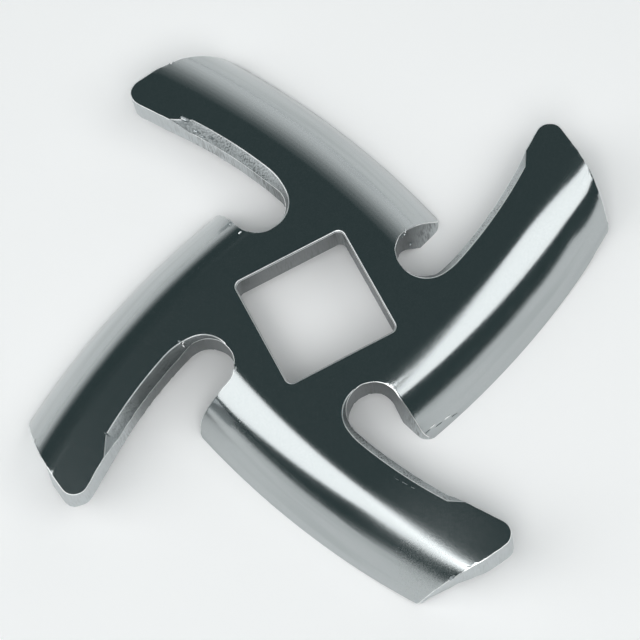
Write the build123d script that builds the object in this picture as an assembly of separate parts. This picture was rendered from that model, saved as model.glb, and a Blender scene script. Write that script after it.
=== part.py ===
from build123d import *
import os
from math import cos, radians, sin, sqrt, tan

# Meat grinder knife, one piece: a star of four swept arms stamped from flat steel.
# The leading side of each arm is bent down into a wing, and the wing's lower edge
# is ground flat. The hub axis is Z, the four ground lands lie on z = 0, where the
# knife wipes the hole plate, and the flat side at the top faces the feed screw.
# Sizes are in millimetres and degrees. Places are given on the first arm, which
# points along +Y and leads with its +X side.

# The blank
sheet = 3.0                 # thickness of the steel
height = 5.4                # from the cutting plane to the flat top
tip_radius = 25.7           # swing of the arm tips
arm_count = 4
square = 10.0               # across the flats of the driving hole
square_corner = 0.6

# The gullet at the foot of each arm
gullet_radius = 2.3
gullet_centre = Vector(-0.15, 10.2)

# The wing: a bend, a straight flank, and the land ground on its lower edge
edge_radius = 72.66         # arc of the cutting edge in plan
edge_centre = Vector(-57.5, -12.95)
edge_flat = 0.05            # height of the honed cutting edge
bend_radius = 4.5           # on the flat side
flank_angle = 61.0          # below the flat top
land_width = 2.7
hollow_angle = 48.0         # slope behind the land
hollow_fillet = 2.4
root_angle = 12.0           # end wall of the wing, from the X direction

# The back of the arm: straight behind the tip, then bowed into the gullet
back_offset = 9.0           # from the hub axis to the straight part
back_angle = 123.7
bow_radius = 40.0

# The relief: a bevel along the top of the bow, with a step near the tip
relief_width = 0.84
relief_angle = 45.0
relief_length = 9.7         # from the gullet's centre to the step
relief_lean = 65.0          # of the step, from square to the back
relief_overcut = 3.5        # reach of the cutter into the gap
relief_foot = 0.2           # clearance of the cutter's foot from the back
relief_blend = 6.0          # radius between the bow and the gullet
relief_gullet_radius = gullet_radius + 0.2
relief_gullet_centre = gullet_centre + Vector(0.23, 0.23)

# Corner radii of the arm in plan
back_corner = 1.2
tip_corner = 0.8
root_corner = 0.9

hub = Vector(0, 0)
pitch = 360 / arm_count


def direction(angle):
    """Unit vector at an angle from X."""
    return Vector(cos(radians(angle)), sin(radians(angle)))


def on_circle(centre, radius, point):
    """Point of a circle that lies in the direction of another point."""
    return centre + (point - centre).normalized() * radius


def circles_cross(centre_a, radius_a, centre_b, radius_b):
    """Where two circles cross, on the left of the way from A to B."""
    way = centre_b - centre_a
    ahead = way.normalized()
    along = (radius_a**2 - radius_b**2 + way.length**2) / (2 * way.length)
    across = sqrt(radius_a**2 - along**2)
    return centre_a + ahead * along + Vector(-ahead.Y, ahead.X) * across


def line_leaves(start, heading, centre, radius):
    """Where a line from inside a circle leaves it."""
    reach = start - centre
    half = reach.dot(heading)
    return start + heading * (sqrt(half**2 - reach.dot(reach) + radius**2) - half)


def arc(centre, start, end):
    """Arc of less than half a turn about a centre."""
    middle = on_circle(centre, (start - centre).length, (start + end) * 0.5)
    return ThreePointArc(start, middle, end)


# The back line, and the bow that touches it and the gullet
back = direction(back_angle)
to_gap = direction(back_angle + 90)
bow_off = bow_radius - back_offset - gullet_centre.dot(to_gap)
bow_along = sqrt((bow_radius - gullet_radius) ** 2 - bow_off**2)
bow_centre = gullet_centre + to_gap * bow_off + back * bow_along
bow_start = bow_centre - to_gap * bow_radius
bow_end = on_circle(gullet_centre, gullet_radius, gullet_centre * 2 - bow_centre)

# The gullet ahead of the arm, from which the end wall of the wing runs out
front_gullet = gullet_centre.rotate(Axis.Z, -pitch)
wall_start = front_gullet + direction(root_angle + 90) * gullet_radius

# Corners of the arm in plan
back_tip = line_leaves(bow_start, back, hub, tip_radius)
front_tip = circles_cross(edge_centre, edge_radius, hub, tip_radius)
front_root = line_leaves(wall_start, direction(root_angle), edge_centre, edge_radius)


def arm_plan():
    """Outline of one arm, from the hub axis out, with its corners rounded."""
    foot = on_circle(gullet_centre, gullet_radius, hub)
    front_foot = foot.rotate(Axis.Z, -pitch)
    straight = (back_tip - bow_start).length
    corners = (
        (back_tip, min(back_corner, straight / 2)),
        (front_tip, tip_corner),
        (front_root, root_corner),
    )
    with BuildSketch() as plan:
        with BuildLine():
            Line(hub, foot)
            arc(gullet_centre, foot, bow_end)
            arc(bow_centre, bow_end, bow_start)
            Line(bow_start, back_tip)
            arc(hub, back_tip, front_tip)
            arc(edge_centre, front_tip, front_root)
            Line(front_root, wall_start)
            arc(front_gullet, wall_start, front_foot)
            Line(front_foot, hub)
        make_face()
        for corner, radius in corners:
            fillet(plan.vertices().sort_by_distance(corner)[0], radius)
    return plan.sketch


def bent_section():
    """Section of the steel across the bend, X from the centre of the edge arc."""
    slope = tan(radians(flank_angle))
    bend_reach = bend_radius * sin(radians(flank_angle))
    bend_drop = bend_radius * (1 - cos(radians(flank_angle)))
    flank_reach = (height - edge_flat - bend_drop) / slope
    bend_start = Vector(edge_radius - flank_reach - bend_reach, height)
    bend_end = bend_start + Vector(bend_reach, -bend_drop)
    underside = height - sheet
    land_start = Vector(edge_radius - land_width, 0)
    hollow_top = land_start + Vector(-underside / tan(radians(hollow_angle)), underside)
    inner = edge_radius - 2 * tip_radius
    with BuildSketch() as section:
        with BuildLine():
            Line((inner, height), bend_start)
            arc(bend_start - Vector(0, bend_radius), bend_start, bend_end)
            Polyline(
                bend_end,
                (edge_radius + edge_flat / slope, 0),
                land_start,
                hollow_top,
                (inner, underside),
                (inner, height),
            )
        make_face()
        fillet(section.vertices().sort_by_distance(hollow_top)[0], hollow_fillet)
    return section.sketch


def bent_steel():
    """The bent section, turned about the centre of the edge arc."""
    upright = Plane(origin=edge_centre, x_dir=(1, 0, 0), z_dir=(0, -1, 0))
    return revolve(upright * bent_section(), Axis(edge_centre, (0, 0, 1)))


def relief_cutter():
    """Cutter of the bevel: full width at the flat top and narrower below."""
    radius = bow_radius + relief_width
    blend_centre = circles_cross(
        bow_centre,
        radius - relief_blend,
        relief_gullet_centre,
        relief_blend - relief_gullet_radius,
    )
    step = circles_cross(bow_centre, radius, gullet_centre, relief_length)
    blend_start = on_circle(bow_centre, radius, blend_centre)
    away = relief_gullet_centre * 2 - blend_centre
    blend_end = on_circle(relief_gullet_centre, relief_gullet_radius, away)
    foot = on_circle(relief_gullet_centre, relief_gullet_radius, hub)
    far_side = relief_gullet_centre - Vector(relief_gullet_radius, 0)
    gap = step + to_gap * relief_overcut
    run_out = step + direction(back_angle + 90 - relief_lean) * relief_overcut
    with BuildSketch(Plane.XY.offset(height)) as plan:
        with BuildLine():
            arc(bow_centre, step, blend_start)
            arc(blend_centre, blend_start, blend_end)
            arc(relief_gullet_centre, blend_end, foot)
            arc(relief_gullet_centre, foot, far_side)
            Polyline(far_side, gap, run_out, step)
        make_face()
    depth = (relief_width + relief_foot) * tan(radians(relief_angle))
    return extrude(plan.sketch, depth, dir=(0, 0, -1), taper=90 - relief_angle)


arm = extrude(arm_plan(), height) & bent_steel()
arm -= relief_cutter()
knife = Part() + [Rot(0, 0, pitch * turn) * arm for turn in range(arm_count)]
knife -= extrude(RectangleRounded(square, square, square_corner), height)

os.makedirs("parts", exist_ok=True)
export_step(knife, "parts/knife.step")
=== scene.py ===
import bpy
import bmesh
from math import atan2, ceil, cos, degrees, pi, radians, sin, sqrt, tan
from mathutils import Matrix, Vector, noise


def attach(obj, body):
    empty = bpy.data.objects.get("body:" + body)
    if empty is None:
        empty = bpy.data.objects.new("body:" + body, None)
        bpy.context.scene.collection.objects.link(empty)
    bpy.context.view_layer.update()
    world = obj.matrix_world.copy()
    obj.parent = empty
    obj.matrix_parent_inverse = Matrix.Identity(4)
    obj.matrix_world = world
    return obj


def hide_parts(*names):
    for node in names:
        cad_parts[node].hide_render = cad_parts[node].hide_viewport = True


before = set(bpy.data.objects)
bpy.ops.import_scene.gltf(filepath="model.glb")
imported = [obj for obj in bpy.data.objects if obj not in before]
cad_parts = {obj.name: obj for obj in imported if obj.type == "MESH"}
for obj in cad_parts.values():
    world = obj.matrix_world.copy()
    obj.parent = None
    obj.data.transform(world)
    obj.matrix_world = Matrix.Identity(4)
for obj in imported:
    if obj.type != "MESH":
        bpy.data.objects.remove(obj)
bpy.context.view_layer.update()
scene = bpy.context.scene
mm = 0.001  # everything is modelled in millimetres and brought to metres at the end

# the blank: sizes every arm shares
blank = {
    "sheet": 3.0,
    "height": 5.4,
    "swing": 25.7,
    "gulletRadius": 2.3,
    "gulletCentre": Vector((-0.15, 10.2, 0)),
    "edgeRadius": 72.66,
    "edgeCentre": Vector((-57.5, -12.95, 0)),
    "rootAngle": 12.0,
    "backOffset": 9.0,
    "backAngle": 123.7,
    "bowRadius": 40.0,
    "backCorner": 1.2,
    "tipCorner": 0.8,
    "rootCorner": 0.9,
    "column": 0.22,  # how far apart the punched walls' upright lines stand
    "edgeColumn": 0.5,
    "edgeClear": 0.04,  # the outline stays just clear of the honed edge
}

# the bend, the land ground on the wing and the hollow behind it
wing = {
    "bendRadius": 4.5,
    "flankAngle": 61.0,  # mean slope of the flank
    "bendAngle": 45.0,  # where the tight bend eases into the flank's gentle roll
    "honed": 0.05,
    "land": 2.7,
    "hollowAngle": 48.0,
    "hollowFillet": 2.4,
    "bendSteps": 25,
    "flankSteps": 14,
    "flareLength": 8.0,  # how far in from the tip the wing bulges
    "flareLoss": 0.4,  # share of the bulge that is gone at the honed edge
    "liftLength": 3.5,  # how far in from the tip its outer corner lifts
    "liftFrom": 1.0,
    "rootMark": (13, 3),  # places near the edge's two ends
    "tipMark": (4.5, 25),
    "inner": 20.0,  # how far in from the edge the sheet starts
    "hollowStep": 4,
    "sweepFrom": 9.0,
    "sweepTo": 39.0,
    "sweepSteps": 75,
}

weld = 0.001  # corners nearer than this become one


def direction(angle):
    return Vector((cos(radians(angle)), sin(radians(angle)), 0))


def onCircle(centre, radius, point):
    return centre + (point - centre).normalized() * radius


def circlesCross(centreA, radiusA, centreB, radiusB):  # left of the way from A to B
    way = centreB - centreA
    ahead = way.normalized()
    along = (radiusA**2 - radiusB**2 + way.length**2) / (2 * way.length)
    across = sqrt(radiusA**2 - along**2)
    return centreA + ahead * along + Vector((-ahead.y, ahead.x, 0)) * across


def lineLeaves(start, heading, centre, radius):
    reach = start - centre
    half = reach.dot(heading)
    return start + heading * (sqrt(half**2 - reach.dot(reach) + radius**2) - half)


def turned(point, angle):
    return Matrix.Rotation(radians(angle), 3, "Z") @ point


# A pen: one vertex that is extruded along lines and spun round arcs, as when tracing a drawing

def penDown(name, place):
    bpy.ops.object.select_all(action="DESELECT")
    bpy.ops.mesh.primitive_plane_add(size=1, location=(0, 0, 0))
    piece = bpy.context.object
    piece.name = name
    bpy.ops.object.mode_set(mode="EDIT")
    bpy.ops.mesh.select_mode(type="VERT")
    bpy.ops.mesh.merge(type="CENTER")
    bpy.ops.transform.translate(value=place)
    return [piece, place.copy()]


def penLine(pen, place):
    bpy.ops.mesh.extrude_region_move(TRANSFORM_OT_translate={"value": place - pen[1]})
    pen[1] = place.copy()


def penArc(pen, centre, angle, step, axis=Vector((0, 0, 1))):
    steps = max(1, round(abs(angle) / step))
    bpy.ops.mesh.spin(steps=steps, angle=-radians(angle), center=centre, axis=axis)
    pen[1] = centre + Matrix.Rotation(radians(angle), 3, axis) @ (pen[1] - centre)


def penTurn(pen, centre, place, stride):  # arc about an upright axis to a place, the short way round
    start = pen[1] - centre
    end = place - centre
    angle = degrees(atan2(start.x * end.y - start.y * end.x, start.x * end.x + start.y * end.y))
    penArc(pen, centre, angle, degrees(stride / start.length))
    pen[1] = place.copy()


def penWalk(pen, place, stride):  # a straight line in even short steps
    start = pen[1].copy()
    steps = ceil((place - start).length / stride)
    for step in range(steps):
        penLine(pen, start + (place - start) * (step + 1) / steps)


def penUp(pen):  # closes the loop and fills it
    bpy.ops.mesh.select_all(action="SELECT")
    bpy.ops.mesh.remove_doubles(threshold=weld)
    bpy.ops.mesh.edge_face_add()
    return pen[0]


# Where the lines of the drawing meet

back = direction(blank["backAngle"])
toGap = direction(blank["backAngle"] + 90)
hub = Vector((0, 0, 0))
gullet = blank["gulletCentre"]
gulletRadius = blank["gulletRadius"]
bowOff = blank["bowRadius"] - blank["backOffset"] - gullet.dot(toGap)
bowAlong = sqrt((blank["bowRadius"] - gulletRadius) ** 2 - bowOff**2)
bowCentre = gullet + toGap * bowOff + back * bowAlong
bowStart = bowCentre - toGap * blank["bowRadius"]
bowEnd = onCircle(gullet, gulletRadius, gullet * 2 - bowCentre)
foot = onCircle(gullet, gulletRadius, hub)
frontGullet = turned(gullet, -90)
frontFoot = turned(foot, -90)
alongRoot = direction(blank["rootAngle"])
intoWing = direction(blank["rootAngle"] + 90)
wallStart = frontGullet + intoWing * gulletRadius
edge = blank["edgeCentre"]
edgeRadius = blank["edgeRadius"]

# The section of the wing, as distance from the edge's centre and height

slope = radians(wing["flankAngle"])
bendAngle = radians(wing["bendAngle"])
bendStart = (
    edgeRadius
    - (blank["height"] - wing["honed"] - wing["bendRadius"] * (1 - cos(slope))) / tan(slope)
    - wing["bendRadius"] * sin(slope)
)
bendEnd = bendStart + wing["bendRadius"] * sin(bendAngle)
bendFoot = blank["height"] - wing["bendRadius"] * (1 - cos(bendAngle))
flankChord = sqrt((edgeRadius - bendEnd) ** 2 + (bendFoot - wing["honed"]) ** 2)
flankTurn = 2 * (atan2(bendFoot - wing["honed"], edgeRadius - bendEnd) - bendAngle)
flankRadius = flankChord / (2 * sin(flankTurn / 2))
flankAxis = (bendEnd - flankRadius * sin(bendAngle), bendFoot - flankRadius * cos(bendAngle))


def traceSheet():
    # the section of the bent steel, drawn upright beside the edge's centre, then spun round it
    height = blank["height"]
    sideways = direction(wing["sweepFrom"])
    bendAxis = direction(wing["sweepFrom"] + 90)
    hollow = radians(wing["hollowAngle"])
    underside = height - blank["sheet"]
    inner = edgeRadius - wing["inner"]
    landStart = edgeRadius - wing["land"]
    hollowTop = landStart - underside / tan(hollow)
    cut = wing["hollowFillet"] * tan(hollow / 2)

    def at(rho, z):
        return edge + sideways * rho + Vector((0, 0, z))

    pen = penDown("sheet", at(inner, height))
    penLine(pen, at(bendStart, height))
    bendStep = wing["bendAngle"] / wing["bendSteps"]
    penArc(pen, at(bendStart, height - wing["bendRadius"]), wing["bendAngle"], bendStep, bendAxis)
    penArc(pen, at(*flankAxis), degrees(flankTurn), degrees(flankTurn) / wing["flankSteps"], bendAxis)
    penLine(pen, at(edgeRadius + wing["honed"] / tan(slope), 0))
    penLine(pen, at(landStart, 0))
    penLine(pen, at(hollowTop + cut * cos(hollow), underside - cut * sin(hollow)))
    filletAxis = at(hollowTop - cut, underside - wing["hollowFillet"])
    penArc(pen, filletAxis, -wing["hollowAngle"], wing["hollowStep"], bendAxis)
    penLine(pen, at(inner, underside))
    sheet = penUp(pen)
    sweep = radians(wing["sweepTo"] - wing["sweepFrom"])
    bpy.ops.mesh.spin(steps=wing["sweepSteps"], angle=-sweep, center=edge, axis=(0, 0, 1))
    bpy.ops.mesh.select_all(action="SELECT")
    bpy.ops.mesh.normals_make_consistent(inside=False)
    bpy.ops.object.mode_set(mode="OBJECT")
    return sheet


def traceOutline():
    # the arm in plan, from the hub's axis out and back, stood up as a cutter
    height = blank["height"]
    swing = blank["swing"]
    floorLevel = Vector((0, 0, -1))
    column = blank["column"]
    reach = edgeRadius + blank["edgeClear"]
    backRound = lineLeaves(bowStart - toGap * blank["backCorner"], back, hub, swing - blank["backCorner"])
    tipRound = circlesCross(edge, reach - blank["tipCorner"], hub, swing - blank["tipCorner"])
    rootRound = lineLeaves(
        wallStart + intoWing * blank["rootCorner"], alongRoot, edge, reach - blank["rootCorner"]
    )
    pen = penDown("outline", hub + floorLevel)
    penLine(pen, foot + floorLevel)
    penTurn(pen, gullet + floorLevel, bowEnd + floorLevel, column)
    penTurn(pen, bowCentre + floorLevel, bowStart + floorLevel, column)
    penWalk(pen, backRound + toGap * blank["backCorner"] + floorLevel, column)
    penTurn(pen, backRound + floorLevel, onCircle(hub, swing, backRound) + floorLevel, column)
    penTurn(pen, hub + floorLevel, onCircle(hub, swing, tipRound) + floorLevel, column)
    penTurn(pen, tipRound + floorLevel, onCircle(edge, reach, tipRound) + floorLevel, column)
    penTurn(pen, edge + floorLevel, onCircle(edge, reach, rootRound) + floorLevel, blank["edgeColumn"])
    penTurn(pen, rootRound + floorLevel, rootRound - intoWing * blank["rootCorner"] + floorLevel, column)
    penWalk(pen, wallStart + floorLevel, column)
    penTurn(pen, frontGullet + floorLevel, frontFoot + floorLevel, column)
    outline = penUp(pen)
    through = height + 2  # past both sides of the sheet
    bpy.ops.mesh.extrude_region_move(TRANSFORM_OT_translate={"value": (0, 0, through)})
    bpy.ops.mesh.select_all(action="SELECT")
    bpy.ops.mesh.normals_make_consistent(inside=False)
    bpy.ops.object.mode_set(mode="OBJECT")
    return outline


def selectFaces(piece, wanted):
    bpy.ops.mesh.select_mode(type="FACE")
    bpy.ops.mesh.select_all(action="DESELECT")
    mesh = bmesh.from_edit_mesh(piece.data)
    for face in mesh.faces:
        face.select_set(wanted(face))
    bmesh.update_edit_mesh(piece.data)


def boolean(piece, cutter, operation):
    bpy.ops.object.select_all(action="DESELECT")
    bpy.context.view_layer.objects.active = piece
    piece.select_set(True)
    bpy.ops.object.modifier_add(type="BOOLEAN")
    cut = piece.modifiers[-1]
    cut.operation = operation
    cut.solver = "EXACT"
    cut.object = cutter
    before = len(piece.data.polygons)
    bpy.ops.object.modifier_apply(modifier=cut.name)
    if operation != "INTERSECT" and len(piece.data.polygons) < before / 2:
        raise RuntimeError("the cut with " + cutter.name + " lost most of " + piece.name)


# each arm as it came off the tool: its relief, how far its wing stands from the drawing at the edge's
# two ends, and how far its tip bulges and its outer corner lifts
arms = [
    {
        "turn": 0,
        "reliefWidth": 0.84,
        "reliefLength": 9.7,
        "rootReach": 0.05,
        "tipReach": 0.22,
        "flare": 0.1,
        "lift": 0.05,
    },
    {
        "turn": -90,
        "reliefWidth": 0.62,
        "reliefLength": 11.0,
        "rootReach": -0.03,
        "tipReach": 0.07,
        "flare": 0.4,
        "lift": 0.5,
    },
    {
        "turn": -180,
        "reliefWidth": 0.62,
        "reliefLength": 9.7,
        "rootReach": -0.1,
        "tipReach": -0.35,
        "flare": 0.25,
        "lift": 0.2,
    },
    {
        "turn": -270,
        "reliefWidth": 0.84,
        "reliefLength": 9.9,
        "rootReach": -0.1,
        "tipReach": 0.03,
        "flare": 0.05,
        "lift": 0,
    },
]

relief = {
    "depth": 1.04,
    "above": 0.3,  # the cutter starts this far over the flat side
    "lean": 65.0,
    "overcut": 3.5,
    "blend": 6.0,
    "gulletRadius": 2.5,
    "gulletCentre": Vector((0.08, 10.43, 0)),
    "column": 0.3,  # shorter steps than this would cross each other at the foot of the bevel
}

driveHole = {
    "across": 10.0,
    "corner": 0.6,
    "cornerStep": 10,
    "rim": 0.1,
    "past": 1,  # how far its cutter stands past the sheet
}
holeReach = driveHole["across"] * 0.72  # just past its corners


def traceRelief(arm):
    # the cutter of the bevel behind the arm: drawn wide above the flat side, drawn in below it
    level = Vector((0, 0, blank["height"] + relief["above"]))
    column = relief["column"]
    radius = blank["bowRadius"] + arm["reliefWidth"] + relief["above"]
    blend = relief["blend"] + relief["above"]
    endRadius = relief["gulletRadius"] + relief["above"]
    end = relief["gulletCentre"]
    blendCentre = circlesCross(bowCentre, radius - blend, end, blend - endRadius)
    step = circlesCross(bowCentre, radius, gullet, arm["reliefLength"] + relief["above"])
    away = end * 2 - blendCentre
    pen = penDown("relief", step + level)
    penTurn(pen, bowCentre + level, onCircle(bowCentre, radius, blendCentre) + level, column)
    penTurn(pen, blendCentre + level, onCircle(end, endRadius, away) + level, column)
    penTurn(pen, end + level, onCircle(end, endRadius, hub) + level, column)
    penTurn(pen, end + level, end - Vector((endRadius, 0, 0)) + level, column)
    penLine(pen, step + toGap * relief["overcut"] + level)
    leaning = direction(blank["backAngle"] + 90 - relief["lean"])
    penLine(pen, step + leaning * relief["overcut"] + level)
    cutter = penUp(pen)
    mesh = bmesh.from_edit_mesh(cutter.data)
    for face in mesh.faces:
        face.normal_update()
        if face.normal.z > 0:
            face.normal_flip()
    bmesh.update_edit_mesh(cutter.data)
    drop = relief["above"] + relief["depth"]
    bpy.ops.mesh.select_all(action="SELECT")
    bpy.ops.mesh.extrude_region_move()
    bpy.ops.mesh.inset(thickness=drop, depth=drop)
    bpy.ops.mesh.select_all(action="SELECT")
    bpy.ops.mesh.remove_doubles(threshold=weld)
    bpy.ops.mesh.normals_make_consistent(inside=False)
    bpy.ops.object.mode_set(mode="OBJECT")
    return cutter


def topHeight(rho):
    if rho <= bendStart:
        return blank["height"]
    if rho < bendEnd:
        return blank["height"] - wing["bendRadius"] + sqrt(wing["bendRadius"] ** 2 - (rho - bendStart) ** 2)
    return flankAxis[1] + sqrt(max(0, flankRadius**2 - (rho - flankAxis[0]) ** 2))


def ease(value, low, high):
    share = min(1, max(0, (value - low) / (high - low)))
    return share * share * (3 - 2 * share)


# how far each wall leans for each millimetre down, and how far from its arc or line that reaches
wallLean = {
    "under": 0.1,  # the top edge itself stays where it is
    "bentOver": 3.0,
    "tip": 0.1,
    "bentTip": 0.11,
    "tipBand": (0.8, 0.2),
    "root": 0.085,
    "rootBand": 0.5,
    "back": 0.09,
    "backBand": 0.6,
    "backRise": 2.0,
}


def leanWalls(piece):
    # punched walls lean out towards the underside, and the ends of the wing lean with the bend
    swing = blank["swing"]
    tipStart, tipEnd = wallLean["tipBand"]
    rootBand = wallLean["rootBand"]
    backBand = wallLean["backBand"]
    for vertex in piece.data.vertices:
        place = vertex.co.copy()
        flat = Vector((place.x, place.y, 0))
        rho = (flat - edge).length
        depth = topHeight(rho) - place.z
        bent = ease(rho, bendStart, bendStart + wallLean["bentOver"])
        atTip = ease(flat.length, swing - tipStart, swing - tipEnd)
        if depth > wallLean["under"] and atTip > 0:
            lean = wallLean["tip"] * (1 - bent) - wallLean["bentTip"] * bent
            vertex.co += flat.normalized() * lean * depth * atTip
        fromRoot = (flat - wallStart).dot(intoWing)
        if depth > wallLean["under"] and abs(fromRoot) < rootBand and bent > 0:
            vertex.co -= intoWing * wallLean["root"] * depth * bent * (1 - ease(fromRoot, 0, rootBand))
        behind = flat.dot(toGap) - blank["backOffset"]
        along = (flat - bowStart).dot(back)
        if behind > -backBand and along > 0 and depth < blank["sheet"]:
            near = ease(along, 0, wallLean["backRise"])
            lean = toGap * wallLean["back"] * (blank["sheet"] - depth)
            vertex.co -= lean * near * ease(behind, -backBand, 0)


def setReach(piece, arm):
    # the wing's edge stands a little out or in from the drawing, more towards the tip, and the tip lifts
    start, stop = [degrees(atan2(y - edge.y, x - edge.x)) for x, y in (wing["rootMark"], wing["tipMark"])]
    swing = blank["swing"]
    for vertex in piece.data.vertices:
        out = Vector((vertex.co.x, vertex.co.y, 0)) - edge
        angle = degrees(atan2(out.y, out.x))
        share = (angle - start) / (stop - start)
        reach = arm["rootReach"] + (arm["tipReach"] - arm["rootReach"]) * share
        vertex.co += out.normalized() * reach * ease(out.length, bendStart, edgeRadius)
        fromHub = Vector(vertex.co.xy).length
        nearTip = ease(fromHub, swing - wing["flareLength"], swing)
        onBend = ease(out.length, bendStart, bendEnd)
        onBend *= 1 - wing["flareLoss"] * ease(out.length, bendEnd, edgeRadius)
        atCorner = ease(fromHub, swing - wing["liftLength"], swing)
        atCorner *= ease(out.length, bendStart + wing["liftFrom"], edgeRadius)
        vertex.co.z += arm["flare"] * nearTip * onBend + arm["lift"] * atCorner


def layLines(piece):
    # the polisher followed the edge, so the wing's own map runs out from the edge's centre and along it
    lines = piece.data.uv_layers.new(name="sweep")
    for loop in piece.data.loops:
        out = Vector(piece.data.vertices[loop.vertex_index].co.xy) - edge.xy
        lines.data[loop.index].uv = (out.length * mm, atan2(out.y, out.x) * edgeRadius * mm)


facing = {
    "flat": 0.99999,  # how far a normal points up
    "almostFlat": 0.999,
    "steep": 0.3,
    "upright": 0.1,
    "sideways": 0.5,
}


def clearFlats(piece):
    # the flat sides and the seams at the hub need none of the sweep's lines
    bpy.context.view_layer.objects.active = piece
    bpy.ops.object.mode_set(mode="EDIT")
    for wanted in (onTop, onUnderside, onBackSeam, onFrontSeam):
        selectFaces(piece, wanted)
        bpy.ops.mesh.dissolve_faces()
    bpy.ops.mesh.select_mode(type="VERT")
    bpy.ops.mesh.select_all(action="DESELECT")
    mesh = bmesh.from_edit_mesh(piece.data)
    for vertex in mesh.verts:
        vertex.select_set(len(vertex.link_edges) == 2 and any(onSeam(face) for face in vertex.link_faces))
    bpy.ops.mesh.dissolve_verts()
    bpy.ops.object.mode_set(mode="OBJECT")


def onTop(face):
    return face.normal.z > facing["flat"]


def onUnderside(face):  # the hub's, not the land's
    return face.normal.z < -facing["flat"] and face.calc_center_median().z > 1


def onSeam(face):
    inside = foot.length - 0.05  # the gullet starts here
    return abs(face.normal.z) < facing["upright"] and face.calc_center_median().xy.length < inside


def onBackSeam(face):
    return onSeam(face) and abs(face.normal.x) > facing["sideways"]


def onFrontSeam(face):
    return onSeam(face) and abs(face.normal.y) > facing["sideways"]


finishes = {"polished": 0, "punched": 1, "burred": 2, "ground": 3, "knocked": 4}


def markFinishes(piece):
    beforeBend = bendStart - 0.2
    for face in piece.data.polygons:
        rho = (Vector((face.center.x, face.center.y, 0)) - edge).length
        bevelled = face.normal.z < facing["almostFlat"] and rho < beforeBend
        if face.normal.z < -facing["steep"]:
            face.material_index = finishes["ground"]
        elif face.normal.z < facing["steep"] or bevelled:
            face.material_index = finishes["punched"]
        else:
            face.material_index = finishes["polished"]


def copyOf(piece, name):
    twin = piece.copy()
    twin.data = piece.data.copy()
    twin.name = name
    scene.collection.objects.link(twin)
    return twin


print("tracing the sheet and the outline")
sheet = traceSheet()
outline = traceOutline()
boolean(sheet, outline, "INTERSECT")
for name in finishes:
    sheet.data.materials.append(bpy.data.materials.new(name + "Steel"))

print("cutting the arms")
pieces = []
for number, arm in enumerate(arms):
    piece = copyOf(sheet, "arm" + str(number))
    cutter = traceRelief(arm)
    boolean(piece, cutter, "DIFFERENCE")
    bpy.data.objects.remove(cutter)
    clearFlats(piece)
    leanWalls(piece)
    setReach(piece, arm)
    layLines(piece)
    markFinishes(piece)
    piece.data.transform(Matrix.Rotation(radians(arm["turn"]), 4, "Z"))
    pieces.append(piece)
bpy.data.objects.remove(sheet)
bpy.data.objects.remove(outline)

print("joining the arms at the hub")
bpy.ops.object.select_all(action="DESELECT")
for piece in pieces:
    piece.select_set(True)
knife = pieces[0]
bpy.context.view_layer.objects.active = knife
bpy.ops.object.join()
knife.name = "polishedKnife"
bpy.ops.object.mode_set(mode="EDIT")
selectFaces(knife, onSeam)
bpy.ops.mesh.delete(type="FACE")
bpy.ops.mesh.select_all(action="SELECT")
bpy.ops.mesh.remove_doubles(threshold=2 * weld)
bpy.ops.mesh.dissolve_degenerate(threshold=weld)
bpy.ops.object.mode_set(mode="OBJECT")


def standHole():
    # the driving hole's cutter, flared where it meets the flat side
    half = driveHole["across"] / 2
    side = half - driveHole["corner"]
    past = driveHole["past"]
    level = Vector((0, 0, -past))
    pen = penDown("hole", Vector((side, half, 0)) + level)
    for quarter in range(4):
        penArc(pen, turned(Vector((side, side, 0)), -90 * quarter) + level, -90, driveHole["cornerStep"])
        penLine(pen, turned(Vector((side, half, 0)), -90 * (quarter + 1)) + level)
    cutter = penUp(pen)
    flare = 1 + driveHole["rim"] / half
    underRim = past + blank["height"] - driveHole["rim"]
    for rise, spread in ((underRim, 1), (driveHole["rim"], flare), (past, 1)):
        bpy.ops.mesh.extrude_region_move(TRANSFORM_OT_translate={"value": (0, 0, rise)})
        bpy.ops.transform.resize(value=(spread, spread, 1), center_override=(0, 0, 0))
    bpy.ops.mesh.select_all(action="SELECT")
    bpy.ops.mesh.normals_make_consistent(inside=False)
    bpy.ops.object.mode_set(mode="OBJECT")
    return cutter


print("cutting the driving hole")
hole = standHole()
boolean(knife, hole, "DIFFERENCE")
bpy.data.objects.remove(hole)
for face in knife.data.polygons:
    if abs(face.normal.z) < 0.9 and face.center.xy.length < holeReach:
        face.material_index = finishes["punched"]

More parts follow.
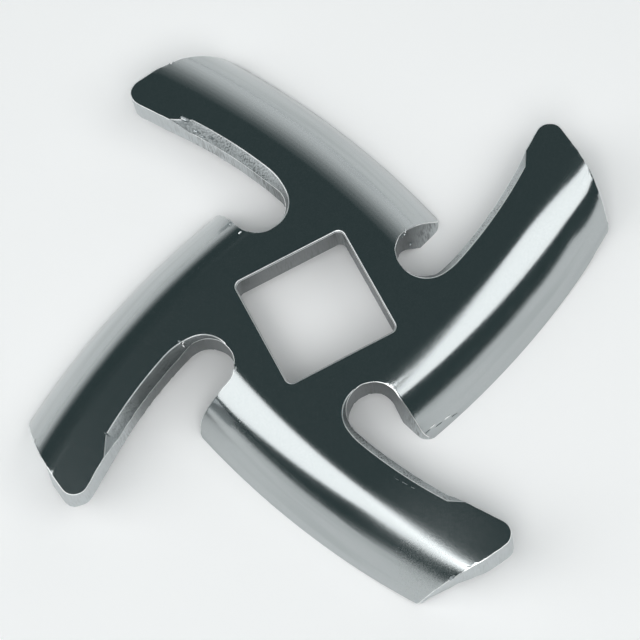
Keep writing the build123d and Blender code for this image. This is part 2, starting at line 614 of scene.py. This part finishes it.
# knocks from the punch and from use: where each is, its half sizes, how it is turned, how far up it sits
nicks = [
    {"at": (9.45, 2.3), "size": (0.42, 0.16, 0.3), "turn": 25, "lift": 0.08},
    {"at": (9.95, 2.25), "size": (0.2, 0.14, 0.3), "turn": 70, "lift": 0},
    {"at": (-8.42, -1.5), "size": (0.3, 0.14, 0.26), "turn": 40, "lift": 0.08},
    {"at": (-9.84, -2.35), "size": (0.25, 0.16, 0.3), "turn": 80, "lift": 0.05},
    {"at": (-10.6, -2.55), "size": (0.14, 0.1, 0.2), "turn": 20, "lift": 0.05},
    {"at": (-2.85, 10.2), "size": (0.16, 0.36, 0.26), "turn": 10, "lift": 0.05},
    {"at": (-11.25, 2.7), "size": (0.2, 0.12, 0.2), "turn": -35, "lift": 0.08},
    {"at": (-0.62, 25.66), "size": (0.2, 0.13, 0.4), "turn": 15, "lift": 0.05},
    {"at": (-1.95, 20.2), "size": (0.22, 0.6, 0.3), "turn": 28, "lift": 0.08},
    {"at": (-1.6, 19.05), "size": (0.16, 0.3, 0.16), "turn": 35, "lift": 0.06},
    {"at": (-1.25, 18.35), "size": (0.1, 0.24, 0.12), "turn": 30, "lift": 0.04},
    {"at": (-0.7, 17.8), "size": (0.12, 0.3, 0.16), "turn": 32, "lift": 0.06},
    {"at": (-9.91, -5.52), "size": (0.13, 0.1, 0.1), "turn": 0, "lift": 0.03},
    {"at": (25.72, -1.2), "size": (0.12, 0.2, 0.2), "turn": 0, "lift": 0.08},
    {"at": (-0.95, -25.5), "size": (0.34, 0.14, 0.4), "turn": 8, "lift": 0.1},
    {"at": (3.5, -12.8), "size": (0.3, 0.06, 0.16), "turn": 14, "lift": 0.04},
    {"at": (4.7, -12.62), "size": (0.42, 0.05, 0.14), "turn": 10, "lift": 0.03},
    {"at": (6.3, -12.38), "size": (0.5, 0.04, 0.12), "turn": 6, "lift": 0.03},
    {"at": (-1.02, -16.35), "size": (0.03, 0.22, 0.05), "turn": 32, "lift": 0.02},
    {"at": (-0.62, -16.95), "size": (0.03, 0.3, 0.05), "turn": 32, "lift": 0.02},
    {"at": (-0.22, -17.6), "size": (0.03, 0.2, 0.05), "turn": 32, "lift": 0.02},
    {"at": (-20.0, -1.75), "size": (0.5, 0.1, 0.18), "turn": -60, "lift": 0.08},
]
burrs = [
    {"at": (4.1, -12.6), "size": (0.34, 0.05, 0.06), "turn": 12, "lift": 0},
    {"at": (5.5, -12.42), "size": (0.4, 0.04, 0.05), "turn": 8, "lift": 0},
    {"at": (9.72, 2.44), "size": (0.07, 0.26, 0.1), "turn": -30, "lift": 0},
    {"at": (2.38, -8.95), "size": (0.2, 0.12, 0.09), "turn": 20, "lift": 0},
    {"at": (2.45, -9.32), "size": (0.11, 0.16, 0.08), "turn": -30, "lift": 0},
    {"at": (-2.5, 8.9), "size": (0.18, 0.08, 0.08), "turn": 15, "lift": 0},
    {"at": (-11.0, 2.5), "size": (0.22, 0.06, 0.08), "turn": 40, "lift": 0},
    {"at": (-11.12, 2.3), "size": (0.06, 0.2, 0.07), "turn": 10, "lift": 0},
    {"at": (-8.2, -1.62), "size": (0.16, 0.06, 0.08), "turn": 60, "lift": 0},
    {"at": (-2.15, 20.55), "size": (0.05, 0.26, 0.05), "turn": 26, "lift": -0.02},
]

lumpShape = {
    "uneven": 0.35,
    "bumps": 1.7,  # how closely they follow each other
    "shift": 3.1,  # so that no two lumps are alike
    "rayFrom": 20,
    "besideDrop": 0.2,  # under the flat side, where the mark lies beside the steel
}


def knock(piece, marks, operation):
    # each mark is a small uneven lump, cut or raised by itself because lumps may overlap
    for number, mark in enumerate(marks):
        across, along = mark["at"]
        above = Vector((across, along, lumpShape["rayFrom"]))
        hit, place = piece.ray_cast(above, Vector((0, 0, -1)))[:2]
        level = (place.z if hit else blank["height"] - lumpShape["besideDrop"]) + mark["lift"]
        bpy.ops.object.select_all(action="DESELECT")
        bpy.ops.mesh.primitive_ico_sphere_add(subdivisions=2, radius=1, location=(0, 0, 0))
        lump = bpy.context.object
        for vertex in lump.data.vertices:
            spot = vertex.co * lumpShape["bumps"] + Vector((number * lumpShape["shift"], 0, 0))
            vertex.co *= 1 + lumpShape["uneven"] * noise.noise(spot)
        size = Matrix.Diagonal(Vector((*mark["size"], 1)))
        turn = Matrix.Rotation(radians(mark["turn"]), 4, "Z")
        lump.data.transform(Matrix.Translation((across, along, level)) @ turn @ size)
        for name in finishes:
            lump.data.materials.append(bpy.data.materials[name + "Steel"])
        for face in lump.data.polygons:
            face.material_index = finishes["burred" if operation == "UNION" else "knocked"]
        boolean(piece, lump, operation)
        bpy.data.objects.remove(lump)


print("knocking in the nicks and raising the burrs")
knock(knife, nicks, "DIFFERENCE")
knock(knife, burrs, "UNION")

# how the punch left the walls and their edges
torn = {
    "rows": 11,
    "streak": 0.03,  # how deep the upright streaks go
    "streakWidth": 0.32,
    "streakStretch": 0.16,
    "streakInHole": 0.35,
    "chips": 0.035,  # how far the upper edge wanders
    "chipWidth": 0.7,
    "chipsInHole": 0.3,
    "above": 0.12,  # the foot of the walls stays on its line
    "rim": 0.055,  # the polished burr along the edges
    "rimAbove": 0.4,
    "rimSegments": 2,
    "rimProfile": 0.6,
    "sharpEdge": 32.0,
    "foldReach": 6,  # corners of a flat's outline that a fold may span
    "smallestFlat": 5,  # square millimetres
}


def isWall(face):
    return abs(face.normal.z) < facing["steep"] and face.material_index == finishes["punched"]


def cutRows(piece):
    # level lines round the punched walls, so that the streaks can be pressed into them
    bpy.context.view_layer.objects.active = piece
    bpy.ops.object.mode_set(mode="EDIT")
    for row in range(1, torn["rows"]):
        selectFaces(piece, isWall)
        level = blank["height"] * row / torn["rows"]
        bpy.ops.mesh.bisect(plane_co=(0, 0, level), plane_no=(0, 0, 1))
    bpy.ops.object.mode_set(mode="OBJECT")


def tearWalls(piece):
    # upright streaks fade out under the upper edge, and the edge itself wanders a little
    mesh = bmesh.new()
    mesh.from_mesh(piece.data)
    mesh.normal_update()
    moves = []
    for vertex in mesh.verts:
        walls = [face for face in vertex.link_faces if isWall(face)]
        if not walls or vertex.co.z < torn["above"]:
            continue
        outward = sum((face.normal for face in walls), Vector())
        outward.z = 0
        if outward.length < 0.01:
            continue
        outward.normalize()
        place = vertex.co
        inHole = place.xy.length < holeReach
        if len(walls) == len(vertex.link_faces):
            spot = Vector((place.x, place.y, place.z * torn["streakStretch"])) / torn["streakWidth"]
            depth = torn["streak"] * (torn["streakInHole"] if inHole else 1)
        else:
            spot = place / torn["chipWidth"]
            depth = torn["chips"] * (torn["chipsInHole"] if inHole else 1)
        moves.append((vertex, outward * depth * noise.noise(spot)))
    for vertex, move in moves:
        vertex.co += move
    mesh.to_mesh(piece.data)
    mesh.free()


def rollRims(piece):
    # a narrow round along every sharp edge of the upper side and the walls, but not on the honed edge
    bpy.context.view_layer.objects.active = piece
    bpy.ops.object.mode_set(mode="EDIT")
    bpy.ops.mesh.select_mode(type="EDGE")
    bpy.ops.mesh.select_all(action="DESELECT")
    mesh = bmesh.from_edit_mesh(piece.data)
    marked = (finishes["knocked"], finishes["burred"])
    for rimEdge in mesh.edges:
        if len(rimEdge.link_faces) != 2 or min(vertex.co.z for vertex in rimEdge.verts) < torn["rimAbove"]:
            continue
        if any(face.material_index in marked for face in rimEdge.link_faces):
            continue
        bent = rimEdge.calc_face_angle_signed()
        above = max(face.normal.z for face in rimEdge.link_faces)
        rimEdge.select_set(bent > radians(torn["sharpEdge"]) and above > facing["steep"])
    bmesh.update_edit_mesh(piece.data)
    bpy.ops.mesh.bevel(
        offset=torn["rim"],
        segments=torn["rimSegments"],
        profile=torn["rimProfile"],
        affect="EDGES",
        clamp_overlap=False,
        material=finishes["burred"],
    )
    bpy.ops.object.mode_set(mode="OBJECT")
    for vertex in piece.data.vertices:
        vertex.co.z = min(vertex.co.z, blank["height"])


def findFolds(places):
    # stretches of an outline that cross over themselves within a few corners
    count = len(places)
    folds = []
    for first in range(count):
        start, end = places[first], places[(first + 1) % count]
        for last in range(first + 2, first + torn["foldReach"]):
            far, farEnd = places[last % count], places[(last + 1) % count]
            oneSide = (end - start).cross(far - start) * (end - start).cross(farEnd - start)
            otherSide = (farEnd - far).cross(start - far) * (farEnd - far).cross(end - far)
            if oneSide < 0 and otherSide < 0:
                folds.append([number % count for number in range(first + 1, last + 1)])
    return folds


def unfoldFlats(piece):
    # rims that meet at a shallow angle fold the flat's outline over, so each fold is drawn to a point
    mesh = bmesh.new()
    mesh.from_mesh(piece.data)
    for face in [face for face in mesh.faces if onTop(face) and face.calc_area() > torn["smallestFlat"]]:
        corners = list(face.verts)
        for fold in findFolds([corner.co.xy for corner in corners]):
            loop = [corners[number] for number in fold]
            middle = sum((corner.co for corner in loop), Vector()) / len(loop)
            bmesh.ops.pointmerge(mesh, verts=loop, merge_co=middle)
    mesh.to_mesh(piece.data)
    mesh.free()


print("tearing the walls and rolling the rims")
cutRows(knife)
tearWalls(knife)
rollRims(knife)
unfoldFlats(knife)

print("bringing the knife to its real size")
knife.data.transform(Matrix.Scale(mm, 4))
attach(knife, "root")
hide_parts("knife")

polished = {
    "dark": (0.462, 0.49, 0.496, 1),
    "light": (0.498, 0.524, 0.528, 1),
    "roughness": (0.12, 0.18),
    "grain": 8000,  # per metre
    "grainHeight": 0.0000017,
    "waves": 260,
    "waveHeight": 0.000002,
    "lines": 1700,
    "stretch": 0.03,
    "lineHeight": 0.000009,
    "lineSpread": (0.5, 0.66),
    "lineShade": (0.43, 0.457, 0.462, 1),
    "wing": (0.0675, 0.0695),  # the lines start with the bend
    "wornAt": (-0.0025, -0.0235, 0),  # one tip is rubbed duller
    "worn": (0.001, 0.008),
    "wornRoughness": 0.12,
}
punched = {
    "hub": (0.27, 0.285, 0.29, 1),  # painted shade: darker in the driving hole and the gullets, whose walls are also smoother
    "light": (0.6, 0.63, 0.64, 1),
    "dark": (0.16, 0.175, 0.175, 1),
    # where the painted shade at the hub is full and where it has faded out
    "hubShadeEdge": (0.0098, 0.0125),
    "darkReflectionAt": (-0.0138, 0.0008, 0),  # painted reflection: one relief is darkened in its middle, standing in for dark surroundings mirrored in its more polished steel
    # how far out the painted reflection is full and where it has faded out
    "smooth": (0.0025, 0.0055),
    "darkReflectionDepth": 0.85,
    "tips": (0.0175, 0.0215),  # the walls are smooth at the tips
    "tipStreaks": 0.25,
    "roughness": (0.38, 0.58),
    "streaks": 7500,
    "stretch": 0.08,
    "streakHeight": 0.000012,
    "streakSpread": (0.38, 0.56),
    "patches": 700,
    "patchSpread": (0.42, 0.62),
    "torn": (0.4, 0.9),  # how dark the streaks are in a smooth patch and in a torn one
}
burred = {"colour": (0.95, 0.96, 0.96, 1), "roughness": 0.34}
knocked = {"colour": (0.4, 0.43, 0.44, 1), "roughness": (0.25, 0.5), "grain": 7000, "grainHeight": 0.00001}
ground = {
    "colour": (0.48, 0.505, 0.515, 1),
    "roughness": (0.2, 0.36),
    "lines": 3000,
    "stretch": 0.03,
    "lineHeight": 0.000004,
}


def startMaterial(name):
    material = bpy.data.materials[name]
    material.use_nodes = True
    nodes = material.node_tree.nodes
    shader = nodes["Principled BSDF"]
    shader.inputs["Metallic"].default_value = 1
    return material.node_tree, shader


def addNoise(tree, scale, stretch, detail, place=None):
    # noise on the knife's own coordinates, drawn out where stretch is under one
    if not place:
        place = tree.nodes.new("ShaderNodeTexCoord").outputs["Object"]
    mapping = tree.nodes.new("ShaderNodeMapping")
    mapping.inputs["Scale"].default_value = stretch
    pattern = tree.nodes.new("ShaderNodeTexNoise")
    pattern.inputs["Scale"].default_value = scale
    pattern.inputs["Detail"].default_value = detail
    tree.links.new(place, mapping.inputs["Vector"])
    tree.links.new(mapping.outputs["Vector"], pattern.inputs["Vector"])
    return pattern.outputs["Fac"]


def addSpread(tree, fac, low, high, lowest=0.35, highest=0.65):
    spread = tree.nodes.new("ShaderNodeMapRange")
    spread.inputs["From Min"].default_value = lowest
    spread.inputs["From Max"].default_value = highest
    spread.inputs["To Min"].default_value = low
    spread.inputs["To Max"].default_value = high
    tree.links.new(fac, spread.inputs["Value"])
    return spread.outputs["Result"]


def addMix(tree, fac, colourA, colourB):
    mix = tree.nodes.new("ShaderNodeMix")
    mix.data_type = "RGBA"
    tree.links.new(fac, mix.inputs["Factor"])
    for socket, colour in (("A", colourA), ("B", colourB)):
        if isinstance(colour, tuple):
            mix.inputs[socket].default_value = colour
        else:
            tree.links.new(colour, mix.inputs[socket])
    return mix.outputs["Result"]


def addMath(tree, operation, first, second):
    product = tree.nodes.new("ShaderNodeMath")
    product.operation = operation
    tree.links.new(first, product.inputs[0])
    tree.links.new(second, product.inputs[1])
    return product.outputs["Value"]


def addReach(tree, centre=(0, 0, 0)):
    # how far a place is from an upright line, such as the hub's axis
    place = tree.nodes.new("ShaderNodeTexCoord")
    level = tree.nodes.new("ShaderNodeVectorMath")
    level.operation = "MULTIPLY"
    level.inputs[1].default_value = (1, 1, 0)
    reach = tree.nodes.new("ShaderNodeVectorMath")
    reach.operation = "DISTANCE"
    reach.inputs[1].default_value = centre
    tree.links.new(place.outputs["Object"], level.inputs[0])
    tree.links.new(level.outputs["Vector"], reach.inputs[0])
    return reach.outputs["Value"]


def addBump(tree, fac, height, under=None):
    bump = tree.nodes.new("ShaderNodeBump")
    bump.inputs["Distance"].default_value = height
    tree.links.new(fac, bump.inputs["Height"])
    if under:
        tree.links.new(under, bump.inputs["Normal"])
    return bump.outputs["Normal"]


def finishPolished():
    tree, shader = startMaterial("polishedSteel")
    grain = addNoise(tree, polished["grain"], (1, 1, 1), 3)
    waves = addNoise(tree, polished["waves"], (1, 1, 1), 1)
    sweep = tree.nodes.new("ShaderNodeUVMap")
    sweep.uv_map = "sweep"
    split = tree.nodes.new("ShaderNodeSeparateXYZ")
    tree.links.new(sweep.outputs["UV"], split.inputs["Vector"])
    onWing = addSpread(tree, split.outputs["X"], 0, 1, *polished["wing"])
    lines = addNoise(tree, polished["lines"], (1, polished["stretch"], 1), 2, sweep.outputs["UV"])
    lines = addMath(tree, "MULTIPLY", lines, onWing)
    steel = addMix(tree, addSpread(tree, grain, 0, 1), polished["dark"], polished["light"])
    onLines = addSpread(tree, lines, 0, 1, *polished["lineSpread"])
    steel = addMix(tree, onLines, steel, polished["lineShade"])
    tree.links.new(steel, shader.inputs["Base Color"])
    fromWorn = addReach(tree, polished["wornAt"])
    rubbed = addSpread(tree, fromWorn, polished["wornRoughness"], 0, *polished["worn"])
    roughness = addMath(tree, "ADD", addSpread(tree, grain, *polished["roughness"]), rubbed)
    tree.links.new(roughness, shader.inputs["Roughness"])
    surface = addBump(tree, waves, polished["waveHeight"], addBump(tree, lines, polished["lineHeight"]))
    tree.links.new(addBump(tree, grain, polished["grainHeight"], surface), shader.inputs["Normal"])


def finishPunched():
    tree, shader = startMaterial("punchedSteel")
    streaks = addNoise(tree, punched["streaks"], (1, 1, punched["stretch"]), 3)
    patches = addNoise(tree, punched["patches"], (1, 1, 0.5), 2)
    # painted shade: the walls' colour darkens towards the hub, in the driving hole and the gullets
    pastHubShade = addSpread(tree, addReach(tree), 0, 1, *punched["hubShadeEdge"])
    wallWithPaintedShading = addMix(tree, pastHubShade, punched["hub"], punched["light"])
    # painted reflection: a dark spot in the middle of one relief
    fromDarkReflection = addReach(tree, punched["darkReflectionAt"])
    paintedReflection = addSpread(tree, fromDarkReflection, punched["darkReflectionDepth"], 0, *punched["smooth"])
    wallWithPaintedShading = addMix(tree, paintedReflection, wallWithPaintedShading, punched["dark"])
    tornness = addSpread(tree, patches, *punched["torn"], *punched["patchSpread"])
    darkness = addSpread(tree, streaks, 1, 0, *punched["streakSpread"])
    darkness = addMath(tree, "MULTIPLY", darkness, tornness)
    onTips = addSpread(tree, addReach(tree), 1, punched["tipStreaks"], *punched["tips"])
    darkness = addMath(tree, "MULTIPLY", darkness, onTips)
    tree.links.new(addMix(tree, darkness, wallWithPaintedShading, punched["dark"]), shader.inputs["Base Color"])
    tree.links.new(addSpread(tree, streaks, *punched["roughness"]), shader.inputs["Roughness"])
    tree.links.new(addBump(tree, streaks, punched["streakHeight"]), shader.inputs["Normal"])


def finishBurred():
    shader = startMaterial("burredSteel")[1]
    shader.inputs["Base Color"].default_value = burred["colour"]
    shader.inputs["Roughness"].default_value = burred["roughness"]


def finishKnocked():
    tree, shader = startMaterial("knockedSteel")
    shader.inputs["Base Color"].default_value = knocked["colour"]
    grain = addNoise(tree, knocked["grain"], (1, 1, 1), 3)
    tree.links.new(addSpread(tree, grain, *knocked["roughness"]), shader.inputs["Roughness"])
    tree.links.new(addBump(tree, grain, knocked["grainHeight"]), shader.inputs["Normal"])


def finishGround():
    tree, shader = startMaterial("groundSteel")
    shader.inputs["Base Color"].default_value = ground["colour"]
    lines = addNoise(tree, ground["lines"], (1, ground["stretch"], 1), 3)
    tree.links.new(addSpread(tree, lines, *ground["roughness"]), shader.inputs["Roughness"])
    tree.links.new(addBump(tree, lines, ground["lineHeight"]), shader.inputs["Normal"])


print("finishing the steel")
finishPolished()
finishPunched()
finishBurred()
finishKnocked()
finishGround()
bpy.ops.object.select_all(action="DESELECT")
knife.select_set(True)
bpy.context.view_layer.objects.active = knife
bpy.ops.object.shade_smooth_by_angle(angle=radians(20))  # the roll of the wing stays smooth
bpy.ops.object.modifier_add(type="WEIGHTED_NORMAL")
knife.modifiers[-1].keep_sharp = True
knife.modifiers[-1].weight = 100
bpy.ops.object.modifier_apply(modifier=knife.modifiers[-1].name)

studio = {
    "floor": (0.96, 0.96, 0.96, 1),
    "floorSize": 6,  # metres
    "floorDrop": 0.00002,  # so that it clears the honed edges
    "surroundings": (0.043, 0.067, 0.069, 1),
    "camera": Vector((-22.376, -81.342, 237.579)),
    "aim": Vector((0.317, 0.611, 0)),
    "roll": -12.643,
    "lens": 168.21,
    "backdropAway": 0.8,
    "backdropTop": 0.03,  # what is left of a backdrop's light at its top
}

# soft panels round the knife: where each hangs, how it is rolled, its size and its watts
panels = [
    {
        "name": "left",
        "azimuth": 162.4,
        "elevation": 46.7,
        "roll": -6.7,
        "away": 0.6,
        "size": (0.461, 0.682),
        "power": 1.64,
    },
    {
        "name": "right",
        "azimuth": -31.4,
        "elevation": 52.3,
        "roll": 33.6,
        "away": 0.6,
        "size": (0.52, 0.321),
        "power": 0.87,
    },
    {
        "name": "front",
        "azimuth": -110,
        "elevation": 60,
        "roll": 0,
        "away": 0.7,
        "size": (0.5, 0.5),
        "power": 2.4,
    },
]
# strips that stand for a pale backdrop, each dimmer than the one below it
backdrops = [
    {
        "name": "far",
        "azimuth": 43,
        "lowest": -4,
        "highest": 62,
        "strips": 9,
        "width": 0.8,
        "radiance": 0.78,
    },
    {
        "name": "side",
        "azimuth": 100,
        "lowest": -4,
        "highest": 26,
        "strips": 6,
        "width": 0.6,
        "radiance": 0.75,
    },
]


def hangPanel(panel):
    away = direction(panel["azimuth"]) * cos(radians(panel["elevation"]))
    away.z = sin(radians(panel["elevation"]))
    across = direction(panel["azimuth"] + 90)
    turn = Matrix((across, away.cross(across), away)).transposed()
    bpy.ops.object.light_add(type="AREA", location=away * panel["away"])
    light = bpy.context.object
    light.name = panel["name"]
    light.rotation_euler = (turn @ Matrix.Rotation(radians(panel["roll"]), 3, "Z")).to_euler()
    light.data.shape = "RECTANGLE"
    light.data.size, light.data.size_y = panel["size"]
    light.data.energy = panel["power"]


def hangBackdrop(backdrop):
    rise = (backdrop["highest"] - backdrop["lowest"]) / backdrop["strips"]
    away = studio["backdropAway"]
    top = studio["backdropTop"]
    height = 2 * away * tan(radians(rise / 2))
    area = height * backdrop["width"]
    for strip in range(backdrop["strips"]):
        dim = 1 - ease(strip, 1, backdrop["strips"])
        radiance = top + (backdrop["radiance"] - top) * dim
        hangPanel({
            "name": backdrop["name"] + "Backdrop" + str(strip),
            "azimuth": backdrop["azimuth"],
            "elevation": backdrop["lowest"] + rise * (strip + 0.5),
            "roll": 0,
            "away": away,
            "size": (backdrop["width"], height),
            "power": radiance * pi * area,
        })


def setStudio():
    bpy.ops.mesh.primitive_plane_add(size=studio["floorSize"], location=(0, 0, -studio["floorDrop"]))
    floor = bpy.context.object
    floor.name = "floor"
    paper = bpy.data.materials.new("floorPaper")
    paper.use_nodes = True
    shader = paper.node_tree.nodes["Principled BSDF"]
    shader.inputs["Base Color"].default_value = studio["floor"]
    shader.inputs["Roughness"].default_value = 1
    shader.inputs["Specular IOR Level"].default_value = 0
    floor.data.materials.append(paper)
    world = bpy.data.worlds.new("studio")
    scene.world = world
    world.use_nodes = True
    world.node_tree.nodes["Background"].inputs["Color"].default_value = studio["surroundings"]
    for panel in panels:
        hangPanel(panel)
    for backdrop in backdrops:
        hangBackdrop(backdrop)


def setCamera():
    bpy.ops.object.camera_add(location=studio["camera"] * mm)
    camera = bpy.context.object
    camera.name = "camera"
    looking = (studio["aim"] - studio["camera"]).to_track_quat("-Z", "Y").to_matrix()
    camera.rotation_euler = (looking @ Matrix.Rotation(radians(studio["roll"]), 3, "Z")).to_euler()
    camera.data.lens = studio["lens"]
    camera.data.sensor_width = 36
    camera.data.clip_start = 0.01
    scene.camera = camera


print("setting the studio")
setStudio()
setCamera()
scene.view_settings.view_transform = "Standard"
